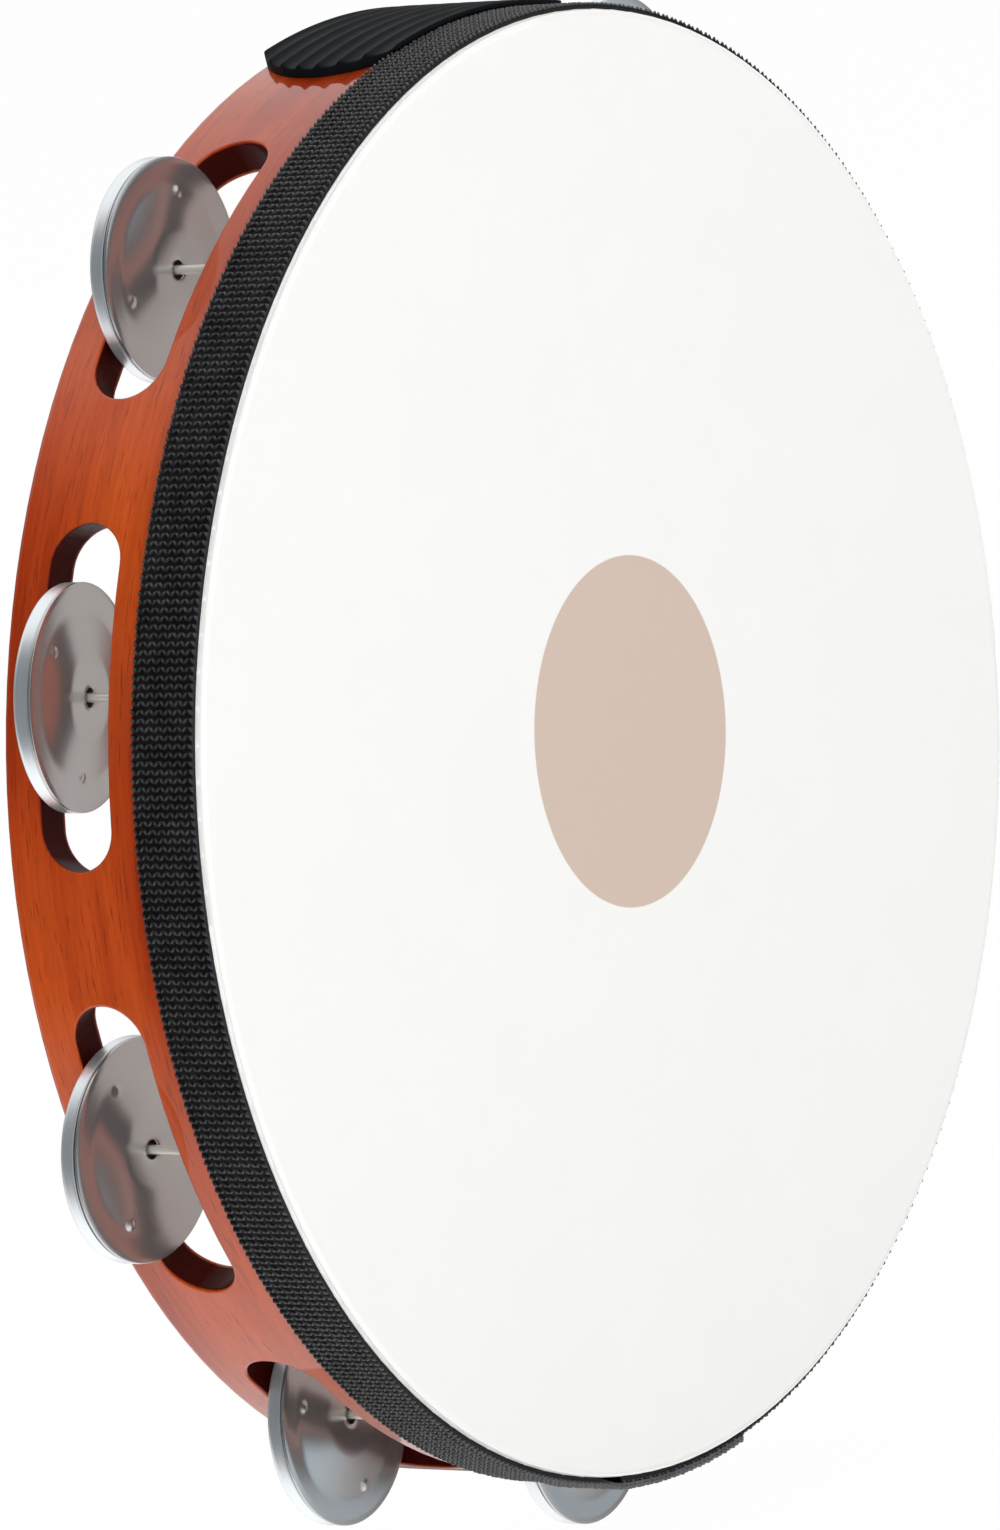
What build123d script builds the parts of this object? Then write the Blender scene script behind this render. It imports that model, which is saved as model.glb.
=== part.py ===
from build123d import *
from math import cos, radians, sin
import os

# Headed tambourine, held up by its grip. Millimetres, +Z up, the head faces -Y.
# The origin is where the hand closes on the instrument: the middle of the grip pad's crest.
# Depths are measured backwards (+Y) from the front of the drumhead, radii from the drum's axis.

# Wooden hoop
hoop_radius = 127.0
wall = 7.2
hoop_depth = 40.0
rim_rounding = 1.2
edge_rounding = 0.5

# Slots and jingles. Nine pairs share a ring of ten places, and the grip has the tenth.
pair_count = 9
pair_spacing = 36.0
first_pair_from_grip = 38.7
slot_length = 57.4
slot_width = 14.0
slot_depth = 26.1
slot_cut_reach = 2 * wall

# Nail that carries a pair of discs
pin_radius = 0.8
pin_circle = hoop_radius - wall / 2
pin_tip_depth = 13.2
pin_recess = 0.4
pin_chamfer = 0.2
bore_clearance = 0.03

# Dished steel disc, stamped from sheet: a flat crown, a sloping ring and a flat brim
disc_radius = 19.05
sheet = 0.5
crown_radius = 6.8
brim_inner_radius = 14.6
dish_height = 1.3
disc_hole_radius = 1.65
bend_radius = 9.0
bend_reach = 0.1
disc_spacing = 3.1

# The rear disc's edge is turned forward, as a rim that ends just behind the front disc
rim_gap = 0.3
rim_height = disc_spacing - sheet - rim_gap
turn_radius = 0.3

# How each pair hangs: depth of the front disc's hole, and how far the outer edges of both discs lean forward
pair_lie = [
    (27.5, 0.0),
    (25.4, 8.5),
    (27.4, -2.0),
    (27.3, 2.0),
    (27.5, 0.5),
    (26.4, -1.0),
    (27.2, 1.5),
    (26.0, 0.0),
    (27.0, -1.5),
]

# Pairs that are a little off their even place round the hoop, in degrees
off_angles = {1: -0.4, 3: 0.7}

# Synthetic head, wrapped over the front rim
head_skin = 0.25
head_skirt_depth = 12.6
head_fit = 0.03

# Woven band over the head's skirt
band_front_depth = 1.2
band_rear_depth = 13.4
band_thickness = 1.2
band_rounding = 0.45

# Ribbed rubber grip, glued on behind the band, with a thin lip over the band's edge
pad_front_depth = 12.4
pad_width = 27.6
pad_thickness = 2.5
pad_fit = 0.03
channel_count = 7
channel_drop = 0.75
pad_corner_angle = 11.6
pad_tip_angle = 15.1
pad_trim_above = 1.0
pad_trim_below = 32.0

# Worked-out places
grip_radius = hoop_radius + pad_thickness
head_front = -(pad_front_depth + pad_width / 2)
hoop_rear_depth = head_skin + head_fit + hoop_depth
skirt_radius = hoop_radius + head_fit + head_skin
band_radius = skirt_radius + head_fit + band_thickness
drum_axis = Axis((0, 0, -grip_radius), (0, 1, 0))
pair_angles = [
    90 + first_pair_from_grip + pair_spacing * (number - 1) + off_angles.get(number, 0)
    for number in range(1, pair_count + 1)
]

# Front and back of a disc's flat brim, measured forward from the middle of its crown
brim_front = sheet / 2 - dish_height
brim_back = -sheet / 2 - dish_height
rim_top = brim_front + rim_height
plain_edge = [(disc_radius, brim_front), (disc_radius, brim_back)]
turned_edge = [
    (disc_radius - sheet, brim_front),
    (disc_radius - sheet, rim_top),
    (disc_radius, rim_top),
    (disc_radius, brim_back),
]


def depth_plane(depth):
    """Plane across the drum at a depth, centred on the axis and facing forward."""
    centre = (0, head_front + depth, -grip_radius)
    return Plane(origin=centre, x_dir=(1, 0, 0), z_dir=(0, -1, 0))


def section(depth, radius):
    """Point of the drum's cross-section, for sketches on Plane.YZ."""
    return (head_front + depth, radius - grip_radius)


def rim_plane(angle, depth, radius):
    """Plane at a place round the drum: x along the circumference, z straight outwards."""
    outward = Vector(cos(radians(angle)), 0, sin(radians(angle)))
    centre = Vector(0, head_front + depth, -grip_radius) + outward * radius
    along = outward.cross(Vector(0, 1, 0))
    return Plane(origin=centre, x_dir=along, z_dir=outward)


def disc_plane(angle, depth, lean):
    """Plane of a disc's crown: origin on the nail, x outwards and z forward, both leant by the same angle."""
    outward = Vector(cos(radians(angle)), 0, sin(radians(angle)))
    forward = Vector(0, -1, 0)
    centre = Vector(0, head_front + depth, -grip_radius) + outward * pin_circle
    leant_out = outward * cos(radians(lean)) + forward * sin(radians(lean))
    leant_forward = forward * cos(radians(lean)) - outward * sin(radians(lean))
    return Plane(origin=centre, x_dir=leant_out, z_dir=leant_forward)


def pin_spot(angle):
    """Where a nail goes through a plane across the drum."""
    return (pin_circle * cos(radians(angle)), pin_circle * sin(radians(angle)))


def finish(builder, name):
    """Label a finished piece and write it out."""
    builder.part.label = name
    export_step(builder.part, f"parts/{name}.step")


os.makedirs("parts", exist_ok=True)

# Hoop: a bent wooden ring with rounded rims, nine slots and a nail bore through each slot
with BuildPart() as hoop:
    with BuildSketch(depth_plane(head_skin + head_fit)):
        Circle(hoop_radius)
        Circle(hoop_radius - wall, mode=Mode.SUBTRACT)
    extrude(amount=-hoop_depth)
    fillet(hoop.edges().filter_by(GeomType.CIRCLE), rim_rounding)
    rim_edges = hoop.edges()
    for angle in pair_angles:
        with BuildSketch(rim_plane(angle, slot_depth, pin_circle)):
            SlotOverall(slot_length, slot_width)
        extrude(amount=slot_cut_reach, both=True, mode=Mode.SUBTRACT)
    # The slots' outlines are long edges. The short ones are seams across the wall, and stay sharp.
    slot_edges = [edge for edge in hoop.edges() - rim_edges if edge.length > slot_cut_reach]
    fillet(slot_edges, edge_rounding)
    with BuildSketch(depth_plane(pin_tip_depth)):
        with Locations([pin_spot(angle) for angle in pair_angles]):
            Circle(pin_radius + bore_clearance)
    extrude(amount=pin_tip_depth - hoop_rear_depth, mode=Mode.SUBTRACT)
finish(hoop, "hoop")

# Drumhead: a flat membrane with a short skirt down the outside of the hoop
with BuildPart() as drumhead:
    with BuildSketch(Plane.YZ) as head_section:
        with BuildLine():
            Polyline(
                section(0, 0),
                section(0, skirt_radius),
                section(head_skirt_depth, skirt_radius),
                section(head_skirt_depth, skirt_radius - head_skin),
                section(head_skin, skirt_radius - head_skin),
                section(head_skin, 0),
                close=True,
            )
        make_face()
        corners = head_section.vertices().group_by(Axis.Y)
        outer_corner = corners[-1].sort_by(Axis.X)[0]
        inner_corner = corners[-2].sort_by(Axis.X)[0]
        fillet(outer_corner, rim_rounding + head_skin)
        fillet(inner_corner, rim_rounding)
    revolve(axis=drum_axis)
finish(drumhead, "drumhead")

# Webbing band: woven tape round the skirt
with BuildPart() as webbing_band:
    with BuildSketch(Plane.YZ) as band_section:
        with BuildLine():
            Polyline(
                section(band_front_depth, band_radius - band_thickness),
                section(band_front_depth, band_radius),
                section(band_rear_depth, band_radius),
                section(band_rear_depth, band_radius - band_thickness),
                close=True,
            )
        make_face()
        fillet(band_section.vertices().group_by(Axis.Y)[-1], band_rounding)
    revolve(axis=drum_axis)
finish(webbing_band, "webbing_band")

# Grip pad: a rubber strip with round ends and channels along the hoop, cut from a ribbed ring
with BuildPart() as grip_pad:
    pad_rear_depth = pad_front_depth + pad_width
    lip_rear_depth = band_rear_depth + pad_fit
    channel_width = pad_width / channel_count
    with BuildSketch(Plane.YZ):
        with BuildLine():
            Polyline(
                section(pad_front_depth, grip_radius),
                section(pad_front_depth, band_radius + pad_fit),
                section(lip_rear_depth, band_radius + pad_fit),
                section(lip_rear_depth, hoop_radius + pad_fit),
                section(pad_rear_depth, hoop_radius + pad_fit),
                section(pad_rear_depth, grip_radius),
            )
            for i in range(channel_count):
                start = pad_front_depth + i * channel_width
                ThreePointArc(
                    section(start, grip_radius),
                    section(start + channel_width / 2, grip_radius - channel_drop),
                    section(start + channel_width, grip_radius),
                )
        make_face()
    revolve(axis=drum_axis)
    with BuildSketch(Plane.XY.offset(pad_trim_above)):
        corner_x = grip_radius * sin(radians(pad_corner_angle))
        tip_x = grip_radius * sin(radians(pad_tip_angle))
        half_width = pad_width / 2
        with BuildLine():
            Line((-corner_x, -half_width), (corner_x, -half_width))
            ThreePointArc((corner_x, -half_width), (tip_x, 0), (corner_x, half_width))
            Line((corner_x, half_width), (-corner_x, half_width))
            ThreePointArc((-corner_x, half_width), (-tip_x, 0), (-corner_x, -half_width))
        make_face()
    extrude(amount=-pad_trim_below, mode=Mode.INTERSECT)
finish(grip_pad, "grip_pad")


def make_pin(angle):
    """Headless nail, driven in from the rear rim, across the slot and into the front strip."""
    with BuildPart() as pin:
        with BuildSketch(depth_plane(pin_tip_depth)):
            with Locations(pin_spot(angle)):
                Circle(pin_radius)
        extrude(amount=pin_tip_depth - hoop_rear_depth + pin_recess)
        chamfer(pin.edges().filter_by(GeomType.CIRCLE), pin_chamfer)
    return pin


def near(vertex, radius, height):
    """Whether a corner of the disc's outline is at this place."""
    return abs(vertex.X - radius) < bend_reach and abs(vertex.Y - height) < bend_reach


def make_disc(angle, depth, lean, edge):
    """Dished disc hung on its nail, crown forward, with a plain or a turned edge."""
    crown = disc_plane(angle, depth, lean)
    with BuildPart() as disc:
        with BuildSketch(Plane(origin=crown.origin, x_dir=crown.x_dir, z_dir=-crown.y_dir)) as profile:
            with BuildLine():
                Polyline(
                    (disc_hole_radius, sheet / 2),
                    (crown_radius, sheet / 2),
                    (brim_inner_radius, brim_front),
                    *edge,
                    (brim_inner_radius, brim_back),
                    (crown_radius, -sheet / 2),
                    (disc_hole_radius, -sheet / 2),
                    close=True,
                )
            make_face()
            corners = profile.vertices()
            crown_bends = [v for v in corners if abs(v.X - crown_radius) < bend_reach]
            brim_bends = [v for v in corners if abs(v.X - brim_inner_radius) < bend_reach]
            fillet(crown_bends + brim_bends, bend_radius)
            if edge is turned_edge:
                fillet([v for v in profile.vertices() if near(v, *turned_edge[0])], turn_radius)
                fillet([v for v in profile.vertices() if near(v, *turned_edge[-1])], turn_radius + sheet)
        revolve(axis=Axis(crown.origin, crown.z_dir))
    return disc


# Nine jingles, each a nail with a front and a rear disc
for number, (angle, (depth, lean)) in enumerate(zip(pair_angles, pair_lie), start=1):
    finish(make_pin(angle), f"jingle_pin_{number}")
    finish(make_disc(angle, depth, lean, plain_edge), f"front_disc_{number}")
    finish(make_disc(angle, depth + disc_spacing, lean, turned_edge), f"rear_disc_{number}")
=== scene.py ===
import random
from math import asin, cos, pi, radians, sin, sqrt

import bpy
import numpy as np
from mathutils import Euler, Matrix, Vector


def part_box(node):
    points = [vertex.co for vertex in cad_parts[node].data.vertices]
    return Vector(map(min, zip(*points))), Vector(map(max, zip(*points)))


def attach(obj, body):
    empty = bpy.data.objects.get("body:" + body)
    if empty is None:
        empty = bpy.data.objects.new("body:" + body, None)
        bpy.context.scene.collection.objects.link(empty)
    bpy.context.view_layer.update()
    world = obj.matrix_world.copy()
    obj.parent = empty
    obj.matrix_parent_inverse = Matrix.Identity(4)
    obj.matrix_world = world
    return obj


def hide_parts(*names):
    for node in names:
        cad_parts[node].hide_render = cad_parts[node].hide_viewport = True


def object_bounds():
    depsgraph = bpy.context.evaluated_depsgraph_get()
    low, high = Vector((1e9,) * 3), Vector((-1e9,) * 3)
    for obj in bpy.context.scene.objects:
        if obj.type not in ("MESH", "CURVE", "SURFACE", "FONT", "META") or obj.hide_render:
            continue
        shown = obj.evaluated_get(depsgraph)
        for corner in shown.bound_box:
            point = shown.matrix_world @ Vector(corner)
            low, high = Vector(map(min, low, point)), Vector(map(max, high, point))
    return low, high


# A headed tambourine in metres, +Z up, the head facing -Y. Angles run round the drum's axis,
# from +X towards +Z, and depths run backwards (+Y) from the front of the head.

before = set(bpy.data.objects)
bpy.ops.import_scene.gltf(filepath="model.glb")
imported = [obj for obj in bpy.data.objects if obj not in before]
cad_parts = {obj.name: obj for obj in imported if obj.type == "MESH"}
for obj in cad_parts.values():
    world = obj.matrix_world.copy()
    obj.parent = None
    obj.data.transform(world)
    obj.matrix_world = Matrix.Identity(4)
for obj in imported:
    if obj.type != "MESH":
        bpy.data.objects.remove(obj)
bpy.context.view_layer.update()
MM = 0.001

# Places read from the frame
hoop_low, hoop_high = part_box("hoop")
band_low, band_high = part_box("webbing_band")
pad_low, pad_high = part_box("grip_pad")
axis_z = (hoop_low.z + hoop_high.z) / 2
head_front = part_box("drumhead")[0].y
hoop_radius = (hoop_high.x - hoop_low.x) / 2
band_radius = (band_high.x - band_low.x) / 2
pad_radius = pad_high.z - axis_z
pair_count = sum(name.startswith("jingle_pin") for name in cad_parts)

# Hoop's wall and slots, which the frame's boxes don't show
hoop_wall = 7.2 * MM
slot_depth = 26.1 * MM
slot_half_width = 7.0 * MM
inner_radius = hoop_radius - hoop_wall
slot_middle_y = head_front + slot_depth

# Print on the head, off the middle by a little
dot_right = 2.3 * MM
dot_above = 1.6 * MM
dot_radius = 30.5 * MM
dot_fade_radius = 30.7 * MM
dot_seen_from_inside = 0.12

# Webbing band: rows of slanted floats, two to each V, on a lower ground, which the yarn's colour paints dark
# as shade
row_pitch = 1.4 * MM
floats_across = 13
float_lift = 0.5 * MM
float_slant = 0.3
lap_angle = 276.0
lap_length = 40 * MM
lap_rise = 9 * MM
band_thickness = 1.15 * MM
band_underside = 0.4 * MM - band_thickness
band_edge_rounding = 0.35 * MM
ribbon_steps = 760

# Grip pad
channel_count = 7
channel_drop = 0.8 * MM
pad_end_bulge = 7.7 * MM
pad_edge_rounding = 0.35 * MM
pad_corner_drop = 0.1 * MM
pad_fit = 0.03 * MM
pad_columns = 90

# Dished discs
disc_radius = 19.05 * MM
disc_hole = 1.65 * MM
disc_sheet = 0.5 * MM
crown_radius = 6.8 * MM
brim_radius = 14.6 * MM
dish_height = 1.3 * MM
bend_reach = 0.8 * MM
dimple_circle = 13.3 * MM
dimple_radius = 1.15 * MM
dimple_height = 0.32 * MM
edge_rounding = 0.12 * MM
hole_chamfer = 0.1 * MM
disc_segments = 200
dimple_count = 3

# The rear disc's edge is turned forward
rim_height = 2.3 * MM
turn_inside = 0.3 * MM
turn_outside = 0.8 * MM

# Where the first dimple of these pairs' front discs is, in degrees from straight outwards. The dimples of
# all other discs fall anywhere.
dimple_turns = {1: 65, 2: 90, 3: 37, 4: 43}

# How far the room's up leans from the drum's own
room_turn = radians(10)

# Colours, as linear red, green and blue
WHITE = (1, 1, 1, 1)
room_dim_left = (0.035, 0.05, 0.062, 1)
room_warm_right = (0.23, 0.20, 0.19, 1)
room_front_panel = (0.70, 0.88, 1.0, 1)
room_for_matt = (0.40, 0.405, 0.41, 1)
floor_colour = (0.93, 0.93, 0.93, 1)
wood_dark = (0.31, 0.027, 0.0025, 1)
wood_light = (0.52, 0.075, 0.0090, 1)
wood_pore = (0.085, 0.008, 0.002, 1)
# Slot walls: the cut wood's deeper dye, with painted shade over it
wood_slot_dye_and_painted_shade = (0.04, 0.0022, 0.0007, 1)
film_shade = (0.925, 0.915, 0.89, 1)
film_white = (0.95, 0.94, 0.92, 1)
film_print = (0.655, 0.52, 0.435, 1)
# Yarn colours are painted light: near black as shade in the gaps, grey as highlight on the float tops
yarn_painted_shade = (0.0010, 0.0010, 0.0012, 1)
yarn_painted_highlight = (0.066, 0.066, 0.070, 1)
rubber_dark = (0.0035, 0.0046, 0.006, 1)
rubber_bloom = (0.0075, 0.0092, 0.0115, 1)
steel_nail = (0.95, 0.91, 0.82, 1)
# One steel for both discs of a pair, in two colours of painted light: darker and warmer on the front discs as
# painted shade and a painted reflection of the wood, brighter and bluer on the rear discs as a painted
# reflection of the bright room
steel_front_painted_dim = (0.60, 0.585, 0.575, 1)
steel_rear_painted_bright = (0.84, 0.88, 0.91, 1)


# ---------------------------------------------------------------- camera, lights and floor

def make_camera():
    """Long lens, from the left of the head's front and a little above the drum's middle."""
    data = bpy.data.cameras.new("photo_camera")
    data.lens = 235.3
    camera = bpy.data.objects.new("photo_camera", data)
    camera.location = (-1.4269, -0.9689, 0.1626)
    camera.rotation_euler = Euler((radians(80.199), radians(6.729), radians(-56.969)))
    data.clip_end = 100
    bpy.context.scene.collection.objects.link(camera)
    bpy.context.scene.camera = camera


def add(tree, kind, inputs=None, **properties):
    """New shader node. Each input is a constant, or the output of another node."""
    made = tree.nodes.new(kind)
    for name, value in properties.items():
        setattr(made, name, value)
    for key, value in (inputs or {}).items():
        socket = made.inputs[key]
        if isinstance(value, bpy.types.NodeSocket):
            tree.links.new(value, socket)
        else:
            socket.default_value = value
    return made


def maths(tree, operation, first, second=0.0, third=0.0):
    """Output of a Math node."""
    inputs = {0: first, 1: second, 2: third}
    return add(tree, "ShaderNodeMath", inputs, operation=operation).outputs[0]


def make_world():
    """White to the camera, soft and even for matt surfaces, and a room with bright panels for shiny ones."""
    world = bpy.data.worlds.new("studio")
    world.use_nodes = True
    tree = world.node_tree
    tree.nodes.clear()
    place = add(tree, "ShaderNodeTexCoord").outputs["Generated"]

    def towards(direction):
        """How nearly a ray points in a direction, from -1 to 1."""
        inputs = {0: place, 1: direction}
        return add(tree, "ShaderNodeVectorMath", inputs, operation="DOT_PRODUCT").outputs["Value"]

    def smooth(value, start, end, low=0.0, high=1.0):
        """A value from start to end, eased from low to high."""
        inputs = {0: value, 1: start, 2: end, 3: low, 4: high}
        return add(tree, "ShaderNodeMapRange", inputs, interpolation_type="SMOOTHSTEP").outputs[0]

    # Above and below are bright, except far over to the left, where the room is dim and cool
    up = towards((sin(room_turn), 0, cos(room_turn)))
    side = towards((cos(room_turn), 0, -sin(room_turn)))
    right = smooth(side, -0.68, -0.3)
    panel = maths(tree, "MULTIPLY", smooth(maths(tree, "ABSOLUTE", up), 0.15, 0.55), right)
    room = blend_colours(tree, right, room_dim_left, room_warm_right)
    front_right = (0.62, -0.785, 0)
    front_panel = smooth(towards(front_right), 0.87, 0.98)
    room = blend_colours(tree, front_panel, room, room_front_panel)
    brightness = smooth(up, -0.1, 0.1, 1.25, 1.05)
    glow = add(tree, "ShaderNodeCombineXYZ", {0: brightness, 1: brightness, 2: brightness}).outputs[0]
    shiny = blend_colours(tree, panel, room, glow)

    rays = add(tree, "ShaderNodeLightPath").outputs
    seen = blend_colours(tree, rays["Is Glossy Ray"], room_for_matt, shiny)
    seen = blend_colours(tree, rays["Is Camera Ray"], seen, WHITE)
    background = add(tree, "ShaderNodeBackground", {"Color": seen})
    output = add(tree, "ShaderNodeOutputWorld")
    tree.links.new(background.outputs[0], output.inputs[0])
    bpy.context.scene.world = world


def softbox(name, place, size, radiance):
    """White area light that faces the drum. Its power follows from how bright its face should be."""
    data = bpy.data.lights.new(name, "AREA")
    data.shape = "RECTANGLE"
    data.size, data.size_y = size
    data.energy = radiance * pi * size[0] * size[1]
    light = bpy.data.objects.new(name, data)
    light.location = place
    aim = Vector((0, 0, axis_z)) - light.location
    light.rotation_euler = aim.to_track_quat("-Z", "Y").to_euler()
    light.visible_camera = False
    light.visible_glossy = False
    bpy.context.scene.collection.objects.link(light)


def make_lights():
    """Large soft boxes: over and behind, in front, low behind, low on the left, and a fill on the left."""
    softbox("box_over", (0.3, 0.75, 1.25), (2.2, 1.6), radiance=1.0)
    softbox("box_front", (0.1, -2.2, 0.9), (2.4, 1.6), radiance=1.72)
    softbox("box_low", (0.35, 1.5, -0.1), (2.4, 0.5), radiance=0.6)
    softbox("box_low_left", (-1.3, -0.2, -0.05), (0.8, 0.35), radiance=3.2)
    softbox("box_left", (-1.5, -0.9, 0.6), (1.2, 1.2), radiance=2.2)


def make_floor():
    """Plain pale floor at the lowest point, almost all white to the camera."""
    reach = 8.0
    mesh = bpy.data.meshes.new("studio_floor")
    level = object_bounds()[0].z
    corners = [(x * reach, y * reach, level) for x, y in ((-1, -1), (1, -1), (1, 1), (-1, 1))]
    mesh.from_pydata(corners, [], [(0, 1, 2, 3)])
    floor = bpy.data.objects.new("studio_floor", mesh)
    bpy.context.scene.collection.objects.link(floor)
    material, tree, output = new_material("pale_floor")
    matt = add(tree, "ShaderNodeBsdfDiffuse", {"Color": floor_colour})
    glow = add(tree, "ShaderNodeEmission", {"Color": WHITE, "Strength": 1.0})
    whiteness = 0.98
    is_camera = add(tree, "ShaderNodeLightPath").outputs["Is Camera Ray"]
    share = maths(tree, "MULTIPLY", is_camera, whiteness)
    mixed = add(tree, "ShaderNodeMixShader", {0: share, 1: matt.outputs[0], 2: glow.outputs[0]})
    tree.links.new(mixed.outputs[0], output.inputs[0])
    mesh.materials.append(material)
    floor.visible_glossy = False


# ---------------------------------------------------------------- materials

def new_material(name):
    """Empty node material, with its tree and its output node."""
    material = bpy.data.materials.new(name)
    material.use_nodes = True
    tree = material.node_tree
    tree.nodes.clear()
    return material, tree, add(tree, "ShaderNodeOutputMaterial")


def surface(tree, output, inputs):
    """Principled surface, joined to the output."""
    shader = add(tree, "ShaderNodeBsdfPrincipled", inputs)
    tree.links.new(shader.outputs[0], output.inputs[0])


def object_place(tree):
    """Place on the drum, in metres."""
    return add(tree, "ShaderNodeTexCoord").outputs["Object"]


def scaled(tree, vector, scale):
    """A place stretched by a factor along each axis."""
    return add(tree, "ShaderNodeVectorMath", {0: vector, 1: scale}, operation="MULTIPLY").outputs[0]


def noise(tree, vector, scale=1.0, detail=3.0, roughness=0.5):
    """Smooth noise. Its scale is in features to the metre, times any stretch of the place."""
    inputs = {"Vector": vector, "Scale": scale, "Detail": detail, "Roughness": roughness}
    return add(tree, "ShaderNodeTexNoise", inputs).outputs[0]


def stretch(tree, value, start, end, low=0.0, high=1.0):
    """A value from start to end, mapped to low to high and clamped."""
    return add(tree, "ShaderNodeMapRange", {0: value, 1: start, 2: end, 3: low, 4: high}).outputs[0]


def varied(tree, value, low, high):
    """The middle of a noise, where most of its values are, mapped to low to high."""
    return stretch(tree, value, 0.3, 0.7, low, high)


def blend_colours(tree, share, first, second, kind="MIX"):
    """First colour, going over to the second with the share."""
    inputs = {0: share, 6: first, 7: second}
    return add(tree, "ShaderNodeMix", inputs, data_type="RGBA", blend_type=kind).outputs[2]


def bump(tree, height, distance):
    """Normal of a surface roughened by a height, which is worth this distance."""
    inputs = {"Height": height, "Distance": distance, "Strength": 1.0}
    return add(tree, "ShaderNodeBump", inputs).outputs[0]


def drum_place(tree):
    """Place as length round the drum, y and radius, then y and radius by themselves.

    The seam is at the top, under the grip.
    """
    split = add(tree, "ShaderNodeSeparateXYZ", {0: object_place(tree)})
    x, y, z = split.outputs
    above = maths(tree, "SUBTRACT", z, axis_z)
    turn = maths(tree, "ARCTAN2", x, maths(tree, "MULTIPLY", above, -1.0))
    radius = maths(tree, "SQRT", maths(tree, "MULTIPLY_ADD", x, x, maths(tree, "MULTIPLY", above, above)))
    length = maths(tree, "MULTIPLY", turn, hoop_radius)
    joined = add(tree, "ShaderNodeCombineXYZ", {0: length, 1: y, 2: radius}).outputs[0]
    return joined, y, radius


def make_wood():
    """Red-brown stained wood under gloss lacquer. The grain runs round the hoop."""
    material, tree, output = new_material("lacquered_wood")
    place, y, radius = drum_place(tree)
    # Each stretch is along the grain, then through the hoop's depth, then through its wall
    figure = noise(tree, scaled(tree, place, (9, 130, 90)), detail=2.0)
    cloud = noise(tree, scaled(tree, place, (16, 34, 30)), detail=1.0)
    fibre = noise(tree, scaled(tree, place, (45, 1100, 900)), detail=4.0, roughness=0.6)
    pores = noise(tree, scaled(tree, place, (190, 2600, 2200)), detail=1.5, roughness=0.5)
    pore = stretch(tree, pores, 0.60, 0.72)
    broad = maths(tree, "MULTIPLY_ADD", cloud, 0.55, maths(tree, "MULTIPLY", figure, 0.45))
    tint = stretch(tree, broad, 0.36, 0.64)
    wood_colour = blend_colours(tree, tint, wood_dark, wood_light)
    shade = varied(tree, fibre, 0.88, 1.12)
    shades = add(tree, "ShaderNodeCombineXYZ", {0: shade, 1: shade, 2: shade}).outputs[0]
    wood_colour = blend_colours(tree, 1.0, wood_colour, shades, "MULTIPLY")
    wood_colour = blend_colours(tree, maths(tree, "MULTIPLY", pore, 0.45), wood_colour, wood_pore)
    # Walls of the slots, painted much darker: their cut wood took up the most dye, and painted shade darkens
    # them further inside the recess. They lie under the outer face, and well inside the rims
    under = stretch(tree, radius, hoop_radius - 0.5 * MM, hoop_radius - 0.08 * MM, 1.0, 0.0)
    above = stretch(tree, radius, inner_radius + 0.3 * MM, inner_radius + 0.9 * MM)
    from_middle = maths(tree, "ABSOLUTE", maths(tree, "SUBTRACT", y, slot_middle_y))
    in_slot = stretch(tree, from_middle, slot_half_width + 0.6 * MM, slot_half_width + 1.2 * MM, 1.0, 0.0)
    wall = maths(tree, "MULTIPLY", maths(tree, "MULTIPLY", under, above), in_slot)
    # Painted shade, with the cut wood's deeper dye, goes on the slot walls here
    wood_colour = blend_colours(tree, wall, wood_colour, wood_slot_dye_and_painted_shade)
    grain = maths(tree, "MULTIPLY_ADD", pore, -0.8, fibre)
    ripple = noise(tree, scaled(tree, place, (60, 160, 160)), detail=1.0)
    surface(tree, output, {
        "Base Color": wood_colour,
        "Roughness": varied(tree, fibre, 0.34, 0.46),
        "Specular IOR Level": 0.03,
        "Normal": bump(tree, grain, distance=0.03 * MM),
        "Coat Weight": maths(tree, "MULTIPLY_ADD", wall, -0.95, 1.0),
        "Coat Roughness": 0.045,
        "Coat Normal": bump(tree, ripple, distance=0.02 * MM),
    })
    return material


def make_film():
    """White head film with a plain round tan print, which shows through faintly on the inside."""
    material, tree, output = new_material("printed_film")
    split = add(tree, "ShaderNodeSeparateXYZ", {0: object_place(tree)})
    x, y, z = split.outputs
    across = maths(tree, "SUBTRACT", x, dot_right)
    up = maths(tree, "SUBTRACT", z, axis_z + dot_above)
    radius = maths(tree, "SQRT", maths(tree, "MULTIPLY_ADD", across, across, maths(tree, "MULTIPLY", up, up)))
    printed = stretch(tree, radius, dot_radius, dot_fade_radius, 1.0, 0.0)
    front, inside = head_front + 0.08 * MM, head_front + 0.16 * MM
    strength = stretch(tree, y, front, inside, 1.0, dot_seen_from_inside)
    printed = maths(tree, "MULTIPLY", printed, strength)
    mottle = noise(tree, object_place(tree), 60.0, 3.0)
    plain = blend_colours(tree, mottle, film_shade, film_white)
    colour = blend_colours(tree, printed, plain, film_print)
    tooth = noise(tree, object_place(tree), 5200.0, 2.0)
    surface(tree, output, {
        "Base Color": colour,
        "Roughness": varied(tree, tooth, 0.48, 0.6),
        "Specular IOR Level": 0.35,
        "Normal": bump(tree, tooth, distance=0.012 * MM),
    })
    return material


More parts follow.
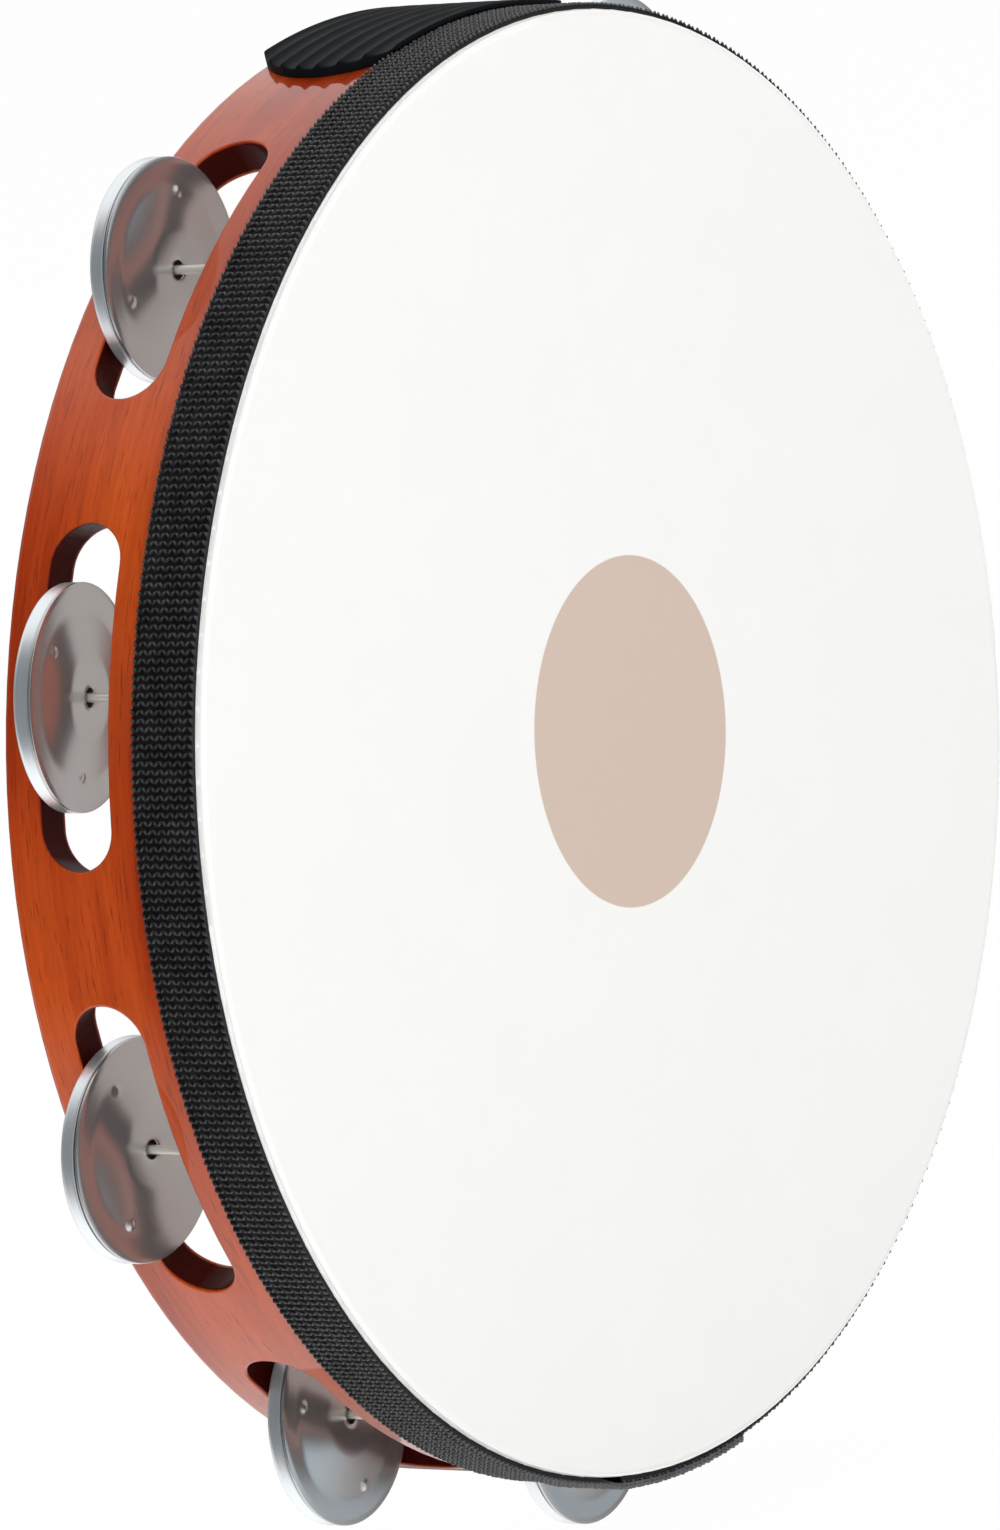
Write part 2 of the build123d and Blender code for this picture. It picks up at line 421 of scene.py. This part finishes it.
def make_webbing():
    """Black polypropylene yarn, with fine filaments along each float. Painted highlight makes the float tops
    greyer, painted shade makes the ground between them near black, and the front side wall is painted
    lighter.
    """
    material, tree, output = new_material("black_webbing")
    place, y, radius = drum_place(tree)
    filament = noise(tree, scaled(tree, place, (2600, 9000, 3000)), detail=2.0)
    patch = noise(tree, scaled(tree, place, (260, 260, 260)), detail=2.0)
    height = stretch(tree, radius, band_radius - 1.6 * float_lift, band_radius)
    # Painted highlight and shade: the higher the yarn stands, the greyer it is painted
    tone = maths(tree, "MULTIPLY", height, varied(tree, patch, 0.55, 1.0))
    tone = maths(tree, "POWER", tone, 2.0)
    # Painted light on the band's front side wall, against its shade beside the head
    painted_front_wall_light = stretch(tree, y, band_low.y + 0.05 * MM, band_low.y + 0.35 * MM, 0.45, 0.0)
    tone = maths(tree, "MAXIMUM", tone, painted_front_wall_light)
    yarn = blend_colours(tree, tone, yarn_painted_shade, yarn_painted_highlight)
    surface(tree, output, {
        "Base Color": yarn,
        "Roughness": varied(tree, filament, 0.28, 0.46),
        "Specular IOR Level": stretch(tree, height, 0.3, 0.85, 0.0, 0.8),
        "Normal": bump(tree, filament, distance=0.05 * MM),
    })
    return material


def make_rubber():
    """Black satin rubber with faint moulding texture."""
    material, tree, output = new_material("black_rubber")
    place = object_place(tree)
    fine = noise(tree, place, 3200.0, 3.0)
    bloom = noise(tree, place, 110.0, 2.0)
    colour = blend_colours(tree, bloom, rubber_dark, rubber_bloom)
    surface(tree, output, {
        "Base Color": colour,
        "Roughness": varied(tree, bloom, 0.42, 0.52),
        "Specular IOR Level": 0.05,
        "Normal": bump(tree, fine, distance=0.01 * MM),
    })
    return material


def make_steel(name, colour, roughness, metal):
    """Bright steel, slightly wavy from the press, with fine uneven polish."""
    material, tree, output = new_material(name)
    place = object_place(tree)
    polish = noise(tree, place, 900.0, 4.0, 0.6)
    smear = noise(tree, place, 55.0, 2.0)
    wave = noise(tree, place, 130.0, 1.0)
    uneven = maths(tree, "MULTIPLY_ADD", smear, 0.6, maths(tree, "MULTIPLY", polish, 0.4))
    duller = [0.95 * c for c in colour[:3]] + [1]
    tone = blend_colours(tree, uneven, duller, colour)
    relief = maths(tree, "MULTIPLY_ADD", polish, 0.04, wave)
    surface(tree, output, {
        "Base Color": tone,
        "Metallic": metal,
        "Roughness": stretch(tree, uneven, 0.35, 0.65, roughness * 0.92, roughness * 1.1),
        "Normal": bump(tree, relief, distance=0.006 * MM),
    })
    return material


# ---------------------------------------------------------------- mesh helpers

def mesh_object(name, points, faces, material, body):
    """Object from points and faces, riding on a body and taking its finish from a slot."""
    mesh = bpy.data.meshes.new(name)
    mesh.from_pydata([tuple(p) for p in points], [], [tuple(int(i) for i in f) for f in faces])
    mesh.validate()
    mesh.polygons.foreach_set("use_smooth", [True] * len(mesh.polygons))
    mesh.materials.append(material)
    made = bpy.data.objects.new(name, mesh)
    bpy.context.scene.collection.objects.link(made)
    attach(made, body)
    return made


def rim_point(angle, depth, radius):
    """Point at an angle in radians, a depth and a radius, for arrays as well as for numbers."""
    x = radius * np.cos(angle)
    z = axis_z + radius * np.sin(angle)
    y = head_front + depth + 0 * x
    return np.stack([x, y, z], axis=-1)


def grid_faces(rows, columns, start=0, close_rows=False, close_columns=False):
    """Quads between the points of a grid, row by row. A closed side joins its last line to its first."""
    row_steps = np.arange(rows if close_rows else rows - 1)
    column_steps = np.arange(columns if close_columns else columns - 1)
    i, j = np.meshgrid(row_steps, column_steps, indexing="ij")
    here, below = i * columns, (i + 1) % rows * columns
    right = (j + 1) % columns
    quads = np.stack([here + j, here + right, below + right, below + j], axis=-1)
    return quads.reshape(-1, 4) + start


# ---------------------------------------------------------------- webbing band

def strip_radius(length, total):
    """Outer radius of the strip at a length from its start: it climbs over its own start near its end."""
    climb_start = total - lap_length - lap_rise
    t = np.clip((length - climb_start) / lap_rise, 0, 1)
    return band_radius - float_lift + band_thickness * t * t * (3 - 2 * t)


def make_band(material):
    """One woven strip, wrapped once round the skirt with its cut end lapped over its start."""
    rng = random.Random(7)
    ground_radius = band_radius - float_lift
    circumference = 2 * pi * ground_radius
    total = circumference + lap_length
    band_front = band_low.y - head_front
    band_rear = band_high.y - head_front
    width = band_rear - band_front
    start_angle = radians(lap_angle) - lap_length / ground_radius

    def angle_at(length):
        """Angle round the drum at a length from the strip's start."""
        return start_angle - 2 * pi + length / ground_radius

    def lying(length, depth, lift):
        """Point over or under the strip's face, which is at its outer radius there."""
        return rim_point(angle_at(length), depth, strip_radius(length, total) + lift)

    # Ground: a closed flat ribbon with rounded edges
    edge = band_edge_rounding
    ring = [
        (band_front + edge, 0.0), (band_rear - edge, 0.0), (band_rear - edge / 3, -edge / 3),
        (band_rear, -edge), (band_rear, -band_thickness + edge), (band_rear - edge, band_underside),
        (band_front + edge, band_underside), (band_front, -band_thickness + edge),
        (band_front, -edge), (band_front + edge / 3, -edge / 3),
    ]
    lengths = np.linspace(0, total, ribbon_steps)
    points = np.concatenate([lying(lengths, d, lift) for d, lift in ring])
    faces = [list(f) for f in grid_faces(len(ring), ribbon_steps, close_rows=True)]
    starts = [i * ribbon_steps for i in range(len(ring))]
    faces.append(starts)
    faces.append([start + ribbon_steps - 1 for start in reversed(starts)])

    # Floats: short slanted pads of yarn, leaning one way and then the other across each row
    side = 4
    stops = np.linspace(-1, 1, side)
    a, b = np.meshgrid(stops, stops, indexing="ij")
    # Height over the ground as a share of the lift: domed across, lower at the ends, and its rim sunk in
    dome = (1 - a ** 2) * 0.75 + 0.25 - 0.55 * b ** 4
    sink = np.where((np.abs(a) == 1) | (np.abs(b) == 1), -0.55, 0.0)
    profile = dome + sink
    float_faces = grid_faces(side, side)
    rows = int(total / row_pitch)
    pitch = width / floats_across
    blocks = [points]
    count = len(points)
    for row in range(rows):
        length = (row + 0.5) * row_pitch
        shift = 0.1 * pitch * (1 if row % 2 else -1)
        for column in range(floats_across):
            lean = 1 if column % 2 else -1
            depth = band_front + (column + 0.5) * pitch + shift
            half_width = 0.6 * pitch * rng.uniform(0.92, 1.06)
            half_length = 0.43 * row_pitch * rng.uniform(0.9, 1.06)
            lift = float_lift * rng.uniform(0.8, 1.0)
            # The selvedge floats are wider, and the front one lies further forward, the rear one further back
            if column in (0, floats_across - 1):
                half_width *= 1.3
                depth += 0.2 * pitch * (1 if column else -1)
            d = depth + a * half_width * 0.8 + lean * b * float_slant * pitch
            d = np.clip(d, band_front - 0.12 * MM, band_rear + 0.05 * MM)
            s = np.clip(length + b * half_length + 0.1 * row_pitch * a * lean, 0, total + 0.2 * MM)
            blocks.append(lying(s, d, profile * lift).reshape(-1, 3))
            faces.extend((float_faces + count).tolist())
            count += side * side
    band = mesh_object("woven_band", np.concatenate(blocks), faces, material, "frame")
    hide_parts("webbing_band")


# ---------------------------------------------------------------- grip pad

def make_pad(material):
    """Ribbed rubber pad: long thin crests with wide channels between, round ends and a plain side wall."""
    half_width = (pad_high.y - pad_low.y) / 2
    middle = (pad_high.y + pad_low.y) / 2 - head_front
    tip = pad_high.x
    end_radius = (half_width ** 2 + pad_end_bulge ** 2) / (2 * pad_end_bulge)
    lip_rear = band_high.y - head_front + pad_fit

    # Cross-section: for each channel, how far along it and how deep. The two outer corners are lower.
    shape = [(0.0, 0.0), (0.03, 0.04), (0.07, 0.2), (0.13, 0.52), (0.22, 0.8), (0.36, 0.95), (0.5, 1.0)]
    shape += [(1 - f, g) for f, g in reversed(shape[1:-1])]
    section = []
    for channel in range(channel_count):
        section += [((channel + f) / channel_count, g * channel_drop) for f, g in shape]
    section.append((1.0, 0.0))
    section[0] = (0.0, pad_corner_drop)
    section[-1] = (1.0, pad_corner_drop)
    # Columns stand closer together near the round ends
    reach = np.linspace(-1, 1, pad_columns)
    reach = np.sign(reach) * (1 - (1 - np.abs(reach)) ** 1.15)

    def end_x(y):
        """Where the round end is, at a place across the pad."""
        return tip - end_radius + sqrt(max(end_radius ** 2 - y ** 2, 0))

    top, bottom = [], []
    for share, drop in section:
        y = (2 * share - 1) * half_width
        depth = middle + y
        limit = asin(end_x(y) / pad_radius)
        angles = pi / 2 - reach * limit
        fall = np.clip((np.abs(reach) - 0.985) / 0.015, 0, 1)
        top.append(rim_point(angles, depth, pad_radius - drop - fall * pad_edge_rounding * 0.4))
        under = (band_radius if depth < lip_rear else hoop_radius) + pad_fit
        bottom.append(rim_point(angles, depth, np.full(pad_columns, under)))
    rows = len(section)
    points = np.concatenate(top + bottom)
    size = rows * pad_columns
    faces = grid_faces(rows, pad_columns).tolist()
    faces += grid_faces(rows, pad_columns, size)[:, ::-1].tolist()
    # Side wall, between the rims of the top and the bottom
    rim = list(range(pad_columns))
    rim += [i * pad_columns + pad_columns - 1 for i in range(1, rows)]
    rim += [(rows - 1) * pad_columns + j for j in range(pad_columns - 2, -1, -1)]
    rim += [i * pad_columns for i in range(rows - 2, 0, -1)]
    for here, after in zip(rim, rim[1:] + rim[:1]):
        faces.append([after, here, here + size, after + size])
    pad = mesh_object("ribbed_grip", points, faces, material, "frame")
    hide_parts("grip_pad")
    bevel = pad.modifiers.new("edges", "BEVEL")
    bevel.width = 0.12 * MM
    bevel.segments = 2
    bevel.limit_method = "ANGLE"
    bevel.angle_limit = radians(50)


# ---------------------------------------------------------------- discs

def disc_axes(node):
    """Hole centre on a disc's front face, and its outward, sideways and forward directions, from its mesh."""
    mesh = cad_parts[node].data
    flat = np.empty(len(mesh.vertices) * 3)
    mesh.vertices.foreach_get("co", flat)
    places = flat.reshape(-1, 3)
    middle = (places.min(axis=0) + places.max(axis=0)) / 2
    spread = np.cov((places - middle).T)
    forward = np.linalg.eigh(spread)[1][:, 0]
    forward *= -np.sign(forward[1])
    along = (places - middle) @ forward
    beside = np.linalg.norm(places - middle - np.outer(along, forward), axis=1)
    crown = middle + forward * along[beside < crown_radius / 2].max()
    outward = np.array([crown[0], 0, crown[2] - axis_z])
    outward -= forward * (outward @ forward)
    outward /= np.linalg.norm(outward)
    return crown, outward, np.cross(forward, outward), forward


def dish(radius):
    """How far the front face lies behind the crown: two soft bends with a slope between."""
    slope = dish_height / (brim_radius - crown_radius)

    def corner(r, place):
        """A rise of one for one past a place, with a soft start."""
        reach = np.clip((r - place + bend_reach) / (2 * bend_reach), 0, 1)
        beyond = np.maximum(r - place - bend_reach, 0)
        return bend_reach * reach ** 2 + beyond

    return slope * (corner(radius, crown_radius) - corner(radius, brim_radius))


def plain_edge():
    """Edge of a front disc, as radii and heights over the front of its brim."""
    e = edge_rounding
    cut = 0.3 * e
    return [
        (disc_radius - cut, -cut), (disc_radius, -e),
        (disc_radius, -disc_sheet + e), (disc_radius - cut, -disc_sheet + cut),
    ]


def turned_edge():
    """Edge of a rear disc: it turns forward, runs up to its rim and comes down again outside."""
    e = edge_rounding
    wall = disc_radius - disc_sheet
    bends = np.linspace(0, pi / 2, 7)
    inside = [(wall - turn_inside * (1 - sin(a)), turn_inside * (1 - cos(a))) for a in bends]
    outside = [
        (disc_radius - turn_outside * (1 - cos(a)), turn_outside * (1 - sin(a)) - disc_sheet) for a in bends
    ]
    rim = [
        (wall, rim_height - 3 * e), (wall, rim_height - e), (wall + e, rim_height),
        (disc_radius - e, rim_height), (disc_radius, rim_height - e), (disc_radius, rim_height - 3 * e),
        (disc_radius, turn_outside - disc_sheet + 2 * e),
    ]
    return inside + rim + outside


def face_radii(end):
    """Radii of the rings across a face: close together where the sheet bends and round the dimples."""
    stops = [
        (disc_hole + hole_chamfer, crown_radius - bend_reach, 5),
        (crown_radius - bend_reach, crown_radius + bend_reach, 7),
        (crown_radius + bend_reach, dimple_circle - dimple_radius, 5),
        (dimple_circle - dimple_radius, brim_radius + bend_reach, 23),
        (brim_radius + bend_reach, end, 4),
    ]
    return np.concatenate([np.linspace(a, b, count)[:-1] for a, b, count in stops] + [[end]])


def make_disc(node, material, dimple_turn, edge, edge_start):
    """Dished disc with three small pressed dimples on its slope, and a plain or a turned edge."""
    crown, outward, sideways, forward = disc_axes(node)
    turns = np.linspace(0, 2 * pi, disc_segments, endpoint=False)
    x, y = np.cos(turns), np.sin(turns)
    loops = [(disc_hole, -edge_rounding)]
    loops += [(r, 0.0) for r in face_radii(edge_start)]
    loops += edge
    loops += [(r, -disc_sheet) for r in face_radii(disc_radius - turn_outside)[::-1]]
    loops += [(disc_hole, -disc_sheet + edge_rounding)]
    rings = []
    for radius, offset in loops:
        height = offset - dish(np.array(radius)) + np.zeros(disc_segments)
        for k in range(dimple_count):
            turn = dimple_turn + 2 * pi * k / dimple_count
            gap = np.hypot(radius * x - dimple_circle * cos(turn), radius * y - dimple_circle * sin(turn))
            height = height + dimple_height * np.clip(1 - (gap / dimple_radius) ** 2, 0, 1) ** 1.5
        place = crown + np.outer(radius * x, outward) + np.outer(radius * y, sideways)
        rings.append(place + np.outer(height, forward))
    faces = grid_faces(len(rings), disc_segments, close_rows=True, close_columns=True)
    name = node.replace("disc", "jingle")
    disc = mesh_object(name, np.concatenate(rings), faces, material, node)
    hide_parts(node)


# ---------------------------------------------------------------- assembly

def repaint(node, material):
    """Gives a CAD node its finished material."""
    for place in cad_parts[node].material_slots:
        place.material = material


make_camera()
make_world()
make_lights()

repaint("hoop", make_wood())
repaint("drumhead", make_film())
nail_steel = make_steel("nail_steel_bright", steel_nail, roughness=0.3, metal=0.55)
# The front and rear discs' steel differ in colour as painted light: dim and warm in front, bright and bluish
# behind
front_steel = make_steel("jingle_steel_painted_dim", steel_front_painted_dim, roughness=0.24, metal=0.85)
rear_steel = make_steel("jingle_steel_painted_bright", steel_rear_painted_bright, roughness=0.33, metal=0.8)
make_band(make_webbing())
make_pad(make_rubber())
turning = random.Random(11)
turned = turned_edge()
for number in range(1, pair_count + 1):
    repaint(f"jingle_pin_{number}", nail_steel)
    seen_turn = dimple_turns.get(number)
    front_turn = turning.uniform(0, 2 * pi) if seen_turn is None else radians(seen_turn)
    make_disc(f"front_disc_{number}", front_steel, front_turn, plain_edge(), disc_radius - edge_rounding)
    rear_turn = turning.uniform(0, 2 * pi)
    make_disc(f"rear_disc_{number}", rear_steel, rear_turn, turned[1:], turned[0][0])
make_floor()
bpy.context.scene.view_settings.view_transform = "Standard"
